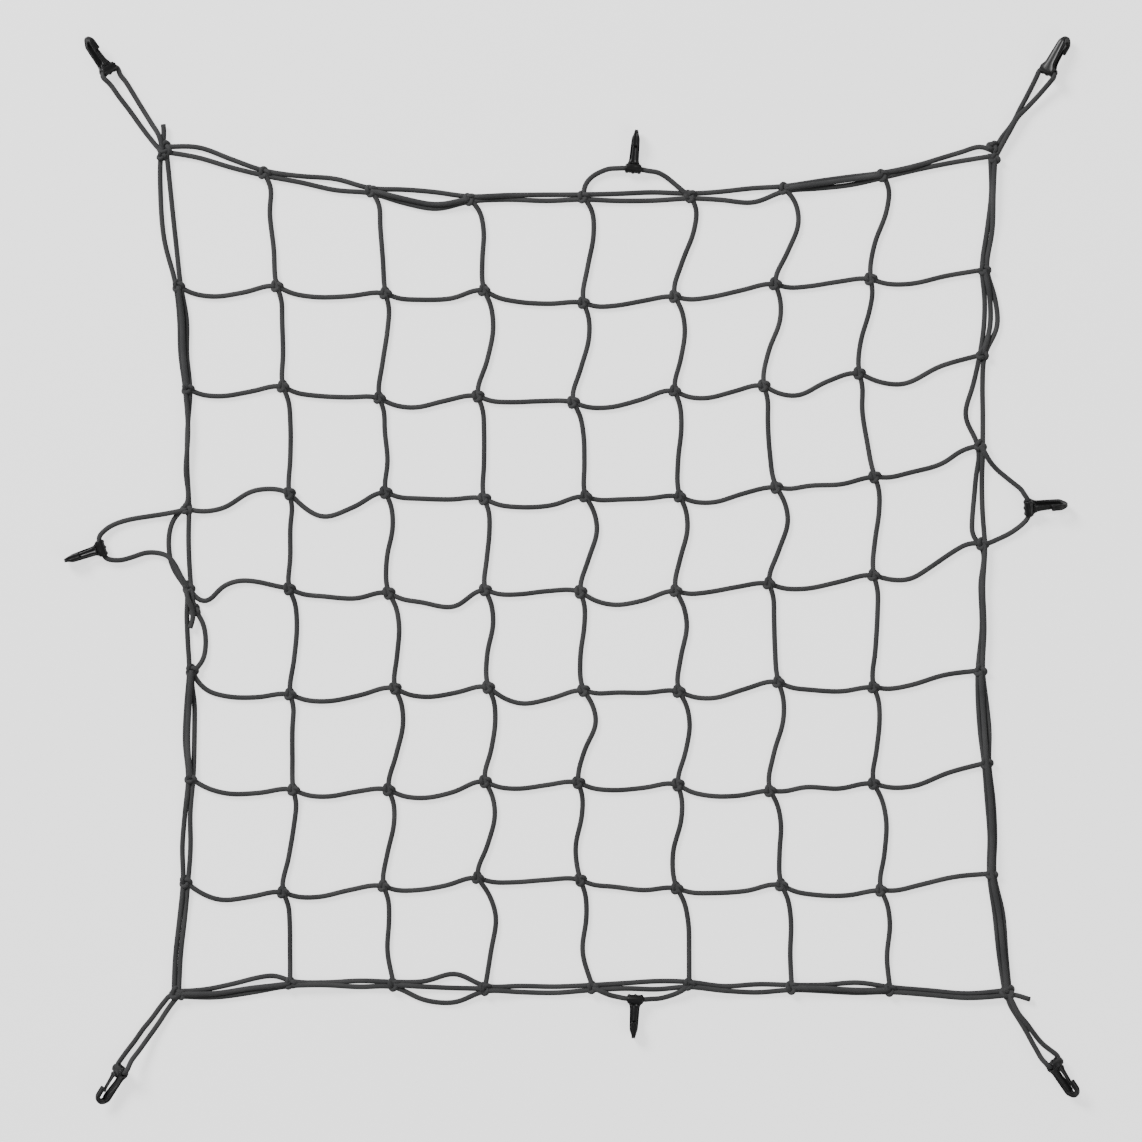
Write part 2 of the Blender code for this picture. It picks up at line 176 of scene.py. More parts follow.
# The two legs of each hook's cord, from its knots to where it turns into the hook.
# The first goes in at the end of the bar that the hook's own third axis points to.
hookLegs = {
    "far": (((115, 361), (110, 364), (105.3, 367.8), (99.5, 373), (93.7, 378), (88, 381.7),
             (82, 384.2)),
            ((12, 360), (12.4, 366), (14.2, 372.4), (19.8, 379.2), (28.8, 384.4), (38, 387.4))),
    "near": (((21, -403), (27, -405.5), (36, -409.5), (43, -411.6)),
             ((114, -400), (110, -404), (103, -408), (94, -411.5), (84, -413.8))),
    "left": (((-371, 59), (-377, 57), (-387, 55), (-410, 51.4), (-423, 49.3), (-435.7, 46), (-446, 41.3),
              (-451.6, 36.7)),
             ((-369, -17), (-375, -8.4), (-380.3, 1.9), (-384.1, 8.3), (-389.3, 13.5), (-399.6, 16.6),
              (-410, 16.7), (-422.8, 12.6), (-435.7, 9.3), (-443, 9.6))),
    "right": (((397, 25), (402, 25.5), (410, 28.8), (417.6, 32.2), (424.5, 35.8), (430.5, 39.9),
               (436, 44.3)),
              ((395, 120), (398, 115), (403, 106), (410, 97.8), (419, 90.1), (428, 82.6), (434.5, 77))),
    "far_left": (((-394, 404), (-397, 418), (-405, 431), (-415, 447), (-425, 463.5), (-431, 473),
                  (-436, 479)),
                 ((-394, 403), (-400, 409), (-405, 415), (-415, 428), (-426, 443.5), (-436, 456.5),
                  (-445, 469))),
    "far_right": (((412, 411), (417, 419), (422, 425), (427, 432), (433, 444), (441, 459),
                   (447, 471)),
                  ((411, 401), (416, 410.5), (423, 423), (431, 437), (439, 445), (449, 455.5), (459, 467),
                   (464, 473))),
    "near_left": (((-381, -409), (-386, -410), (-393, -417.3), (-405, -433.3), (-413, -443),
                   (-421, -454.5), (-428, -463.5)),
                  ((-379, -411), (-386.3, -420), (-398, -437.5), (-409, -453), (-418, -465.5),
                   (-423, -472))),
    "near_right": (((421, -411), (424, -420), (430, -430), (438, -443), (445, -456), (450, -465),
                    (454, -472)),
                   ((422, -409), (427, -419), (431, -427), (440, -438), (448, -449), (455, -457.3),
                    (462.5, -463.3))),
}
# How the cord runs into the bar: along the hook and across it, in millimetres
turnInto = ((-5, 9.3), (-2.3, 9.9), (-0.5, 8.4), (0, 4))
bendInto = ((-2.1, 12), (-0.6, 10.2), (0, 7.8), (0, 4))
runInto = ((-0.9, 14.8), (-0.3, 11.5), (0, 8.5), (0, 4))


# Materials

def plug(tree, socket, value):
    if hasattr(value, "is_output"):
        tree.links.new(value, socket)
    else:
        socket.default_value = value


def addGroup(name, inputs, outputs):
    group = bpy.data.node_groups.new(name, "ShaderNodeTree")
    for socketName, value in inputs:
        kind = "NodeSocketColor" if isinstance(value, tuple) else "NodeSocketFloat"
        group.interface.new_socket(socketName, in_out="INPUT", socket_type=kind).default_value = value
    for socketName, kind in outputs:
        group.interface.new_socket(socketName, in_out="OUTPUT", socket_type=kind)
    return group, group.nodes.new("NodeGroupInput"), group.nodes.new("NodeGroupOutput")


def mathNode(tree, operation, first, second=None, clamp=False):
    node = tree.nodes.new("ShaderNodeMath")
    node.operation = operation
    node.use_clamp = clamp
    for socket, value in zip(node.inputs, (first, second)):
        if value is not None:
            plug(tree, socket, value)
    return node.outputs[0]


def mixColour(tree, share, first, second, blend="MIX"):
    node = tree.nodes.new("ShaderNodeMix")
    node.data_type = "RGBA"
    node.blend_type = blend
    for slot, value in ((0, share), (6, first), (7, second)):
        plug(tree, node.inputs[slot], value)
    return node.outputs[2]


def noiseNode(tree, vector, detail):
    node = tree.nodes.new("ShaderNodeTexNoise")
    node.inputs["Scale"].default_value = 1.0
    node.inputs["Detail"].default_value = detail
    tree.links.new(vector, node.inputs["Vector"])
    return node.outputs["Fac"]


def braidGroup():
    # Two sets of strands wound opposite ways, read off the cord's own UV map in metres
    group, given, out = addGroup(
        "braidedSheath",
        (("Along", 0.0), ("Around", 0.0), ("Strands", 4.0), ("Lead", 0.006)),
        (("Height", "NodeSocketFloat"), ("Painted Groove Shade", "NodeSocketFloat")))
    turns = mathNode(group, "MULTIPLY", given.outputs["Around"], given.outputs["Strands"])
    steps = mathNode(group, "DIVIDE", given.outputs["Along"], given.outputs["Lead"])
    waves = []
    for operation in ("ADD", "SUBTRACT"):
        phase = mathNode(group, operation, turns, steps)
        waves.append(mathNode(group, "SINE", mathNode(group, "MULTIPLY", phase, 2 * math.pi)))
    crown = mathNode(group, "ABSOLUTE", mathNode(group, "MULTIPLY", *waves))
    height = mathNode(group, "POWER", crown, 0.55)  # round strands
    # painted shade: the thin dark lines between the strands stand in for the shade that falls in the
    # braid's grooves
    line = mathNode(group, "POWER", crown, 0.3)  # thin dark lines between them
    paintedGrooveShade = mathNode(group, "SUBTRACT", 1.0, line, True)
    group.links.new(height, out.inputs["Height"])
    group.links.new(paintedGrooveShade, out.inputs["Painted Groove Shade"])
    return group


def grainGroup():
    # Fine grain with a slower patchiness, for thread fuzz and moulded plastic alike
    group, given, out = addGroup(
        "surfaceGrain",
        (("Grain Size", 0.0006), ("Patch Size", 0.02)),
        (("Grain", "NodeSocketFloat"), ("Patch", "NodeSocketFloat")))
    place = group.nodes.new("ShaderNodeTexCoord").outputs["Object"]
    for sizeName, outName, detail in (("Grain Size", "Grain", 3), ("Patch Size", "Patch", 2)):
        scaled = group.nodes.new("ShaderNodeVectorMath")
        scaled.operation = "SCALE"
        group.links.new(place, scaled.inputs[0])
        group.links.new(mathNode(group, "DIVIDE", 1.0, given.outputs[sizeName]), scaled.inputs["Scale"])
        group.links.new(noiseNode(group, scaled.outputs[0], detail), out.inputs[outName])
    return group


def placeGroup(tree, group, **values):
    node = tree.nodes.new("ShaderNodeGroup")
    node.node_tree = group
    for name, value in values.items():
        plug(tree, node.inputs[name.replace("_", " ")], value)
    return node


def bumpInto(tree, shader, height, distance, strength):
    bump = tree.nodes.new("ShaderNodeBump")
    bump.inputs["Distance"].default_value = distance
    bump.inputs["Strength"].default_value = strength
    tree.links.new(height, bump.inputs["Height"])
    tree.links.new(bump.outputs["Normal"], shader.inputs["Normal"])


def newMaterial(name):
    material = bpy.data.materials.new(name)
    material.use_nodes = True
    return material, material.node_tree, material.node_tree.nodes["Principled BSDF"]


def rampNode(tree, value, span):
    node = tree.nodes.new("ShaderNodeMapRange")
    node.inputs["From Min"].default_value, node.inputs["From Max"].default_value = span
    tree.links.new(value, node.inputs["Value"])
    return node.outputs["Result"]


def roughFrom(tree, shader, value, span):
    # Roughness that goes from one end of the span to the other with the value
    low, high = span
    rough = mathNode(tree, "MULTIPLY_ADD", value, high - low)
    rough.node.inputs[2].default_value = low
    tree.links.new(rough, shader.inputs["Roughness"])


def cordMaterial(braid, grain):
    look = {
        "crown": (0.076, 0.077, 0.079, 1),
        # painted shade: the colour put in the braid's grooves, where shade falls
        "paintedGrooveShade": (0.020, 0.020, 0.021, 1),
        "worn": (0.108, 0.108, 0.109, 1),
        "wornPatches": (0.38, 0.72),  # patch values where wear starts and is full
        "darkThread": (0.78, 0.78, 0.78, 1),
        "paleThread": (1.18, 1.18, 1.18, 1),
        "threadGrain": (0.35, 0.7),
        "strands": 5.0,
        "lead": 0.0052,  # metres of cord for one turn of a strand
        "grainSize": 0.00045,
        "patchSize": 0.035,
        "roughness": (0.78, 0.92),
        "braidDepth": 0.00022,
        "grainShare": 0.35,  # of the height, next to the braid
    }
    material, tree, shader = newMaterial("elasticCordSheath")
    uv = tree.nodes.new("ShaderNodeUVMap")
    uv.uv_map = "UVMap"
    split = tree.nodes.new("ShaderNodeSeparateXYZ")
    tree.links.new(uv.outputs["UV"], split.inputs[0])
    woven = placeGroup(tree, braid, Along=split.outputs["X"], Around=split.outputs["Y"],
                       Strands=look["strands"], Lead=look["lead"])
    fuzz = placeGroup(tree, grain, Grain_Size=look["grainSize"], Patch_Size=look["patchSize"])
    wear = rampNode(tree, fuzz.outputs["Patch"], look["wornPatches"])
    sheath = mixColour(tree, wear, look["crown"], look["worn"])
    # painted shade darkens the grooves between the strands
    sheath = mixColour(tree, woven.outputs["Painted Groove Shade"], sheath, look["paintedGrooveShade"])
    threads = mixColour(tree, rampNode(tree, fuzz.outputs["Grain"], look["threadGrain"]),
                        look["darkThread"], look["paleThread"])
    tree.links.new(mixColour(tree, 1.0, sheath, threads, "MULTIPLY"), shader.inputs["Base Color"])
    roughFrom(tree, shader, fuzz.outputs["Grain"], look["roughness"])
    height = mathNode(tree, "MULTIPLY_ADD", fuzz.outputs["Grain"], look["grainShare"])
    tree.links.new(woven.outputs["Height"], height.node.inputs[2])
    bumpInto(tree, shader, height, look["braidDepth"], 0.8)
    shader.inputs["Specular IOR Level"].default_value = 0.25
    shader.inputs["Sheen Weight"].default_value = 0.05
    shader.inputs["Sheen Roughness"].default_value = 0.5
    return material


def hookMaterial(grain):
    look = {
        "black": (0.0050, 0.0050, 0.0053, 1),
        "rubbed": (0.022, 0.022, 0.0225, 1),
        "rubbedEdges": (0.52, 0.60),  # pointiness where rubbing starts and is full
        "roughness": (0.32, 0.44),
        "grainSize": 0.0007,
        "patchSize": 0.006,
        "grainDepth": 0.00006,
    }
    material, tree, shader = newMaterial("mouldedHookPlastic")
    skin = placeGroup(tree, grain, Grain_Size=look["grainSize"], Patch_Size=look["patchSize"])
    edges = tree.nodes.new("ShaderNodeNewGeometry").outputs["Pointiness"]
    wear = mathNode(tree, "MULTIPLY", rampNode(tree, edges, look["rubbedEdges"]), skin.outputs["Patch"])
    tree.links.new(mixColour(tree, wear, look["black"], look["rubbed"]), shader.inputs["Base Color"])
    roughFrom(tree, shader, skin.outputs["Patch"], look["roughness"])
    bumpInto(tree, shader, skin.outputs["Grain"], look["grainDepth"], 0.5)
    shader.inputs["Specular IOR Level"].default_value = 0.5
    return material


# Pieces

def addPiece(name, mesh, material, body):
    mesh.name = name
    mesh.materials.clear()
    mesh.materials.append(material)
    piece = bpy.data.objects.new(name, mesh)
    bpy.context.scene.collection.objects.link(piece)
    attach(piece, body)
    return piece


def meshFrom(bm, name="part"):
    mesh = bpy.data.meshes.new(name)
    bm.to_mesh(mesh)
    bm.free()
    return mesh


# Camera, floor and light

def setStage():
    floorMaterial, tree, shader = newMaterial("paleFloor")
    shader.inputs["Base Color"].default_value = view["floorColour"]
    shader.inputs["Roughness"].default_value = 0.9
    shader.inputs["Specular IOR Level"].default_value = 0.0
    shader.inputs["Emission Color"].default_value = view["floorGlow"]
    seen = tree.nodes.new("ShaderNodeLightPath").outputs["Is Camera Ray"]  # white, yet lights nothing
    tree.links.new(seen, shader.inputs["Emission Strength"])
    bm = bmesh.new()
    bmesh.ops.create_grid(bm, x_segments=1, y_segments=1, size=view["floorSize"] / 2)
    mesh = meshFrom(bm, "studioFloor")
    mesh.materials.append(floorMaterial)
    floor = bpy.data.objects.new("studioFloor", mesh)
    floor.location.z = -0.0002
    bpy.context.scene.collection.objects.link(floor)

    camera = bpy.data.objects.new("overheadCamera", bpy.data.cameras.new("overheadCamera"))
    camera.data.lens = view["lens"]
    camera.data.clip_end = 50
    camera.location = (*view["centre"], view["height"])
    bpy.context.scene.collection.objects.link(camera)
    bpy.context.scene.camera = camera

    for name in ("key", "fill"):
        lamp = bpy.data.lights.new(f"{name}Light", "AREA")
        lamp.shape = "DISK"
        lamp.size = view[f"{name}Size"]
        lamp.energy = view[f"{name}Power"]
        light = bpy.data.objects.new(f"{name}Light", lamp)
        light.location = view[f"{name}Place"]
        light.rotation_euler = (-light.location).to_track_quat("-Z", "Y").to_euler()
        bpy.context.scene.collection.objects.link(light)
    world = bpy.data.worlds.new("softRoom")
    world.use_nodes = True
    world.node_tree.nodes["Background"].inputs["Color"].default_value = (1, 1, 1, 1)
    world.node_tree.nodes["Background"].inputs["Strength"].default_value = view["sky"]
    bpy.context.scene.world = world


# Cords

def knotPlace(row, column):
    x = (column - cells / 2) * pitch + knotRight[row][column]
    y = (cells / 2 - row) * pitch + knotUp[row][column]
    return Vector((x * mm, y * mm, cordLooks["diameter"] / 2))


knotPlaces = [knotPlace(row, column).xy for row in range(cells + 1) for column in range(cells + 1)]
knotPlaces.append(Vector((-362, -40)) * mm)  # the splice


def evenPoints(line, spacing):
    lengths = [0.0]
    for a, b in zip(line, line[1:]):
        lengths.append(lengths[-1] + (b - a).length)
    count = max(2, round(lengths[-1] / spacing))
    points, i = [], 0
    for k in range(count + 1):
        at = lengths[-1] * k / count
        while i < len(line) - 2 and lengths[i + 1] < at:
            i += 1
        step = max(lengths[i + 1] - lengths[i], 1e-9)
        points.append(line[i].lerp(line[i + 1], min(1.0, (at - lengths[i]) / step)))
    return points


def smoothLine(stations, spacing):
    # A curve through the stations whose handles fit the distance between them
    tangents = []
    for i, here in enumerate(stations):
        before = here - stations[i - 1] if i else stations[1] - here
        after = stations[i + 1] - here if i + 1 < len(stations) else before
        span = before.length + after.length
        tangents.append((before.normalized() * after.length + after.normalized() * before.length) / span)
    line = []
    for a, b, leaving, arriving in zip(stations, stations[1:], tangents, tangents[1:]):
        reach = (b - a).length / 3
        line += interpolate_bezier(a, a + leaving * reach, b - arriving * reach, b,
                                   cordLooks["curveSteps"])[:-1]
    line.append(stations[-1])
    points = evenPoints(line, spacing)
    for _ in range(cordLooks["softening"]):
        points[1:-1] = [(a + 2 * b + c) / 4 for a, b, c in zip(points, points[1:], points[2:])]
    return points


def bowedStations(knots, bows, across, aside=Vector((0, 0, 0)), leaving=()):
    # aside moves the line at its knots only, leaving swings it out just past each one
    stations = [knots[0] + aside]
    for i, (start, end, bow) in enumerate(zip(knots, knots[1:], bows)):
        if isinstance(bow[0], tuple):
            stations += [Vector((x * mm, y * mm, start.z)) for x, y in bow]
        else:
            swing = []
            if leaving:
                swing = [(cordLooks["leavingAt"], leaving[i] + cordLooks["leavingBow"] * bow[0])]
            stations += [start.lerp(end, share) + across * offset * mm
                         for share, offset in (*swing, (1 / 3, bow[0]), (2 / 3, bow[1]))]
        stations.append(end + aside)
    return stations


def knotDistance(point):
    return min((point.xy - place).length for place in knotPlaces)


def riseAtKnots(points, height):
    # Brings a strand up to a knot's middle height in one soft slope
    for point in points:
        near = 1 - min(knotDistance(point) / cordLooks["knotRise"], 1.0)
        point.z += (height - point.z) * near * near * (3 - 2 * near)
    return points


laidPoints = {}  # points of the cords that lie there already, by square


def squareOf(point):
    size = 2 * cordLooks["diameter"]
    return math.floor(point.x / size), math.floor(point.y / size)


def layDown(points):
    for point in points:
        laidPoints.setdefault(squareOf(point), []).append(point.copy())


def restOn(points):
    # Lifts a line over what it lies on, in a long low hump
    width = cordLooks["diameter"]
    heights = [max(point.z, width / 2) for point in points]
    for i, point in enumerate(points):
        if knotDistance(point) < cordLooks["knotReach"]:
            continue
        column, row = squareOf(point)
        for dx in (-1, 0, 1):
            for dy in (-1, 0, 1):
                for other in laidPoints.get((column + dx, row + dy), ()):
                    gap = (other.xy - point.xy).length
                    if gap < width and abs(other.z - point.z) < width:
                        heights[i] = max(heights[i], other.z + math.sqrt(width ** 2 - gap ** 2))
    step = (points[1] - points[0]).length * cordLooks["humpSlope"]
    for order in (range(1, len(points)), range(len(points) - 2, -1, -1)):
        back = -1 if order.step == 1 else 1
        for i in order:
            heights[i] = max(heights[i], heights[i + back] - step)
    for _ in range(cordLooks["humpSoftening"]):
        heights[1:-1] = [sum(heights[i - 1:i + 2]) / 3 for i in range(1, len(heights) - 1)]
    for point, height in zip(points, heights):
        point.z = height
    return points


def tubeMesh(points, radius, roundSteps):
    # A round tube on the line, closed at its ends, with a UV map in metres along it
    curve = bpy.data.curves.new("cordLine", "CURVE")
    curve.dimensions = "3D"
    curve.twist_mode = "MINIMUM"
    curve.bevel_depth = radius
    curve.bevel_resolution = roundSteps
    curve.use_fill_caps = True
    spline = curve.splines.new("POLY")
    spline.points.add(len(points) - 1)
    for target, point in zip(spline.points, points):
        target.co = (*point, 1.0)
    spline.use_smooth = True
    carrier = bpy.data.objects.new("cordLine", curve)
    mesh = bpy.data.meshes.new_from_object(carrier)
    bpy.data.objects.remove(carrier)
    bpy.data.curves.remove(curve)
    length = sum((b - a).length for a, b in zip(points, points[1:]))
    bm = bmesh.new()
    bm.from_mesh(mesh)
    bpy.data.meshes.remove(mesh)
    layer = bm.loops.layers.uv["UVMap"]
    wide = max(loop[layer].uv.x for face in bm.faces for loop in face.loops)
    for face in bm.faces:
        for loop in face.loops:
            loop[layer].uv.x *= length / wide
    bmesh.ops.remove_doubles(bm, verts=bm.verts, dist=1e-6)
    bmesh.ops.recalc_face_normals(bm, faces=bm.faces)
    for face in bm.faces:
        face.smooth = len(face.verts) == 4
    return bm, length


def layCord(name, points, material, nodes=()):
    bm, length = tubeMesh(points, cordLooks["diameter"] / 2, cordLooks["roundSteps"])
    piece = addPiece(name, meshFrom(bm), material, "net")
    if nodes:
        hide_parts(*nodes)


def layMesh(material):
    # Cross cords lie on the floor and rise into each knot; long cords run over them
    radius = cordLooks["diameter"] / 2
    leaving = [-cordLooks["leaving"]] * cells
    for row, bows in crossBows.items():
        knots = [knotPlace(row, column) for column in range(cells + 1)]
        stations = bowedStations(knots, bows, Vector((0, 1, 0)), leaving=leaving)
        points = smoothLine(stations, cordLooks["spacing"])
        riseAtKnots(points, radius + cordLooks["crossRise"])
        layDown(points)
        layCord(f"cross_cord_{row}_sheath", points, material, [f"cross_cord_{row}"])
    leaving = [cordLooks["leavingEdge"]] + [cordLooks["leaving"]] * (cells - 1)
    for column, bows in longBows.items():
        knots = [knotPlace(row, column) for row in range(cells + 1)]
        stations = bowedStations(knots, bows, Vector((1, 0, 0)), leaving=leaving)
        points = smoothLine(stations, cordLooks["spacing"])
        riseAtKnots(points, radius + cordLooks["longRise"])
        layDown(points)
        layCord(f"long_cord_{column}_sheath", points, material, [f"long_cord_{column}"])


def sideKnots(side):
    alongX = side in ("far", "near")
    fixed = 0 if side in ("far", "left") else cells
    return [knotPlace(fixed, i) if alongX else knotPlace(i, fixed) for i in range(cells + 1)]


def looseEnd(name):
    return [Vector(place) * mm for place in looseEnds[name]]


def layBorder(material):
    # Edge line, border cord and third strands of each side, each resting on those before it
    outwards = {"far": Vector((0, 1, 0)), "near": Vector((0, -1, 0)),
                "left": Vector((-1, 0, 0)), "right": Vector((1, 0, 0))}
    for side, out in outwards.items():
        across = Vector((0, 1, 0)) if side in ("far", "near") else Vector((1, 0, 0))
        knots = sideKnots(side)
        for strand, sign in (("edge", -1), ("border", 1)):
            aside = out * sign * cordLooks["pairGap"]
            stations = bowedStations(knots, netSides[side][strand], across, aside)
            if strand == "border" and side == "left":
                stations = (looseEnd("farLeftTail") + stations)[::-1]
            if strand == "border" and side == "near":
                stations += looseEnd("nearRightTail")
            points = riseAtKnots(smoothLine(stations, cordLooks["spacing"]), cordLooks["knotHeight"])
            restOn(points)
            layDown(points)
            layCord(f"{strand}_cord_{side}_sheath", points, material, [f"{strand}_cord_{side}"])
        for cell, bows in netSides[side]["third"].items():
            span = knots[cell:cell + len(bows) + 1]
            points = smoothLine(bowedStations(span, bows, across), cordLooks["spacing"])
            riseAtKnots(points, cordLooks["knotHeight"] + cordLooks["thirdRise"])
            restOn(points)
            layDown(points)
            layCord(f"third_strand_{side}_{cell + 1}", points, material)
    points = smoothLine(looseEnd("splice"), cordLooks["bendSpacing"])
    layCord("splice_end", restOn(points), material)


def hookFrames():
    # Each hook's place and turn, from its seat and its gate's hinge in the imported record
    seat = Vector((*hookShape["seat"], 0)) * mm
    mounts = {mount["name"]: mount for mount in record["mounts"]}
    joints = {joint["name"]: joint for joint in frame["joints"]}
    found = {}
    for name in hookLegs:
        mount, hinge = mounts[f"{name}_hook_seat"], joints[f"{name}_gate"]
        along = -Vector(mount["axis"]).normalized()
        through = -Vector(hinge["axis"]).normalized()
        turn = Matrix((along, through.cross(along), through)).transposed()
        found[name] = Vector(mount["pos_m"]) - turn @ seat, turn
    return found


def layHookCords(material, hooks):
    radius = cordLooks["diameter"] / 2
    for name, legs in hookLegs.items():
        place, turn = hooks[name]
        route = turnInto if "_" in name else bendInto if name in ("left", "right") else runInto
        halves = []
        for leg, side in zip(legs, (1, -1)):
            intoBar = [place + turn @ Vector((along * mm, 0, side * across * mm))
                       for along, across in route]
            flat = [Vector((x * mm, y * mm, 0)) for x, y in leg]
            for i, point in enumerate(flat):
                point.z = radius + (intoBar[0].z - radius) * (i / len(flat)) ** 2
            points = smoothLine(flat + intoBar, cordLooks["bendSpacing"])
            knotPart = [point for point in points if knotDistance(point) < cordLooks["knotRise"]]
            riseAtKnots(knotPart, cordLooks["knotHeight"])
            floorPart = [point for point in points if (point - place).length > cordLooks["hookReach"]]
            restOn(floorPart)
            layDown(floorPart)
            halves.append(points)
        line = evenPoints(halves[0] + halves[1][::-1], cordLooks["bendSpacing"])
        layCord(f"hook_cord_{name}_sheath", line, material, [f"hook_cord_{name}"])


# Knots

hitch = {
    "radius": 2.15 * mm,
    "roundSteps": 3,
    "points": 46,
    "reach": 1.42,  # of its three lobes, as a scale
    "openness": 2.5,
    "middle": 4.7,  # height in millimetres
    "weave": 2.3,
    "start": 30,  # degrees; where its ends are
    "facing": 90,  # degrees; one lobe to the right
    "edgeSize": 1.02,
    "wobble": 22,  # degrees that a knot may be turned by
    "spread": 0.06,
}


def tieKnot(bm, place, size, degrees, chance):
    # A small overhand knot pulled tight round the crossing, its ends tucked underneath
    degrees += hitch["facing"] + chance.uniform(-1, 1) * hitch["wobble"]
    turned = Matrix.Rotation(math.radians(degrees), 3, "Z")
    wide, long = (size * hitch["reach"] * (1 + chance.uniform(-1, 1) * hitch["spread"])
                  for _ in range(2))
    line = []
    for i in range(hitch["points"] + 1):
        turn = 2 * math.pi * i / hitch["points"] + math.radians(hitch["start"])
        across = (math.sin(turn) + hitch["openness"] * math.sin(2 * turn)) * wide
        down = (math.cos(turn) - hitch["openness"] * math.cos(2 * turn)) * long
        height = hitch["middle"] - hitch["weave"] * math.sin(3 * turn)
        line.append(Vector((place[0], place[1], 0)) + turned @ Vector((across, down, height)) * mm)
    knot, _ = tubeMesh(line, hitch["radius"] * size ** 0.5, hitch["roundSteps"])
    mesh = meshFrom(knot)
    bm.from_mesh(mesh)
    bpy.data.meshes.remove(mesh)


addedKnots = {  # x, y, size and turn of those at the corners and at the splice
    "far": ((-392, 407, 1.2, -40), (-395, 399.5, 0.75, 70), (407, 408.5, 0.95, 30),
            (409, 397, 0.9, 80)),
    "near": ((-381, -408.5, 1.1, -40), (-376.5, -409.5, 0.85, 20), (421.3, -407.8, 1.25, 40)),
    "left": ((-363, -39, 0.95, 60),),
}


def tieKnots(material):
    chance = random.Random(7)
    rows = {f"row_{row}": [(knotPlace(row, column), 1, 0) for column in range(1, cells)]
            for row in range(1, cells)}
    for side in netSides:
        places = sideKnots(side)
        upright = side in ("left", "right")
        rows[side] = [(place, hitch["edgeSize"], 90 if upright else 0) for place in places[1:-1]]
    for side, added in addedKnots.items():
        rows[side] += [(Vector((x, y)) * mm, size, degrees) for x, y, size, degrees in added]
    for name, knots in rows.items():
        bm = bmesh.new()
        for place, size, degrees in knots:
            tieKnot(bm, place, size, degrees, chance)
        addPiece(f"knots_{name}", meshFrom(bm), material, "net")


# Snap hooks, drawn along x with the nose towards y

hookShape = {
    "seat": (34.597, 1.5),  # where the pull bears, inside the bow
    "rounding": 2,
    "sharpAngle": 38,
    # (share of the way from the inner to the outer face, share of the half width)
    "bladeSection": ((0.37, 0.58), (0.31, 0.66), (0.03, 0.74), (0.0, 0.86), (0.12, 1.0), (0.36, 1.0),
                     (0.45, 0.86), (0.59, 0.86), (0.68, 1.0), (0.83, 1.0), (0.95, 0.86), (1.0, 0.6),
                     (1.0, 0.34), (0.945, 0.22)),
    # along, outer side, inner side, half width
    "spine": ((-1.5, -5.6, -1.6, 7.4), (1.4, -5.9, -1.8, 8.4), (3.4, -5.95, -2.2, 7.4),
              (5.4, -5.95, -2.8, 5.9), (7.4, -5.95, -3.2, 5.0), (10, -5.95, -3.2, 4.75),
              (15, -5.95, -2.6, 4.6), (21, -5.98, -1.2, 4.4), (27, -6.0, -0.1, 4.15)),
    "outerBow": (30.6, 1.5, 7.5),  # centre and radius
    "innerBow": (30.0, 2.9, 2.9),
    # half widths in even steps round the bow
    "bowHalf": (3.95, 3.35, 2.45, 2.1, 1.95, 1.85, 1.8, 1.85, 1.95, 2.1, 2.4, 2.8, 3.1),
    "nose": ((27.4, 9.1, 5.75, 3.0), (24.6, 8.8, 5.75, 3.0), (22.9, 9.0, 5.7, 3.0),
             (21.7, 8.9, 5.8, 2.8), (21.3, 8.2, 6.1, 2.3)),
    "gusset": ((-1.0, 5.5, 2.2, 7.4), (1.4, 5.8, 2.4, 8.5), (3.0, 5.5, 2.4, 7.4), (4.3, 4.0, 1.6, 6.3),
               (5.6, 3.1, 1.0, 5.4), (7.0, 2.8, 1.2, 4.6), (8.0, 2.4, 1.6, 3.4)),
    "barrelRadius": 4.1,
    "barrelStretch": 1.36,
    "barrelHalf": 7.8,
    "barrelEdge": 0.9,
    "boreRadius": 3.1,
    "boreLength": 24,
    "frontPlate": ((1.8, 4.25), 5.0, 7.2),  # back and front, half height, half width
    "plateEdge": 0.8,
    "nubs": ((-3.1, -5.9, 1.8), (-3.6, 0.0, 1.6), (-3.1, 5.9, 1.8)),
    "nubStretch": (0.85, 2.1, 1),
    # along, height, half width and half thickness of the gate's tongue
    "gatePath": ((4.7, 4.6, 4.3, 0.8), (5.5, 4.7, 4.35, 1.15), (6.5, 4.75, 4.2, 1.15),
                 (7.6, 4.8, 3.6, 0.75), (9, 4.8, 3.1, 0.62), (12, 4.75, 2.75, 0.62),
                 (18.3, 4.7, 2.55, 0.62), (20.8, 4.65, 2.5, 0.62), (22.2, 4.3, 2.45, 0.62),
                 (23.6, 3.95, 2.4, 0.62), (25.8, 3.85, 2.1, 0.6)),
    "gateSection": ((1.0, 0.0), (0.93, 0.75), (0.74, 1.0), (0.36, 1.0), (0.2, 0.35), (-0.2, 0.35),
                    (-0.36, 1.0), (-0.74, 1.0), (-0.93, 0.75), (-1.0, 0.0), (-0.93, -0.75),
                    (-0.7, -1.0), (0.7, -1.0), (0.93, -0.75)),
}


def sweepRings(rings):
    # Skins the outlines one after the other, closes both ends and smooths the whole
    bm = bmesh.new()
    loops = [[bm.verts.new(point) for point in ring] for ring in rings]
    for before, after in zip(loops, loops[1:]):
        for i in range(len(before)):
            bm.faces.new((before[i - 1], before[i], after[i], after[i - 1]))
    bm.faces.new(loops[0])
    bm.faces.new(loops[-1])
    bmesh.ops.recalc_face_normals(bm, faces=bm.faces)
    solid = scratchObject(bm, "sweptPlastic")
    smoothing = solid.modifiers.new("rounding", "SUBSURF")
    smoothing.levels = smoothing.render_levels = hookShape["rounding"]
    return solid


def scratchObject(bm, name):
    scratch = bpy.data.objects.new(name, meshFrom(bm, name))
    bpy.context.scene.collection.objects.link(scratch)
    return scratch


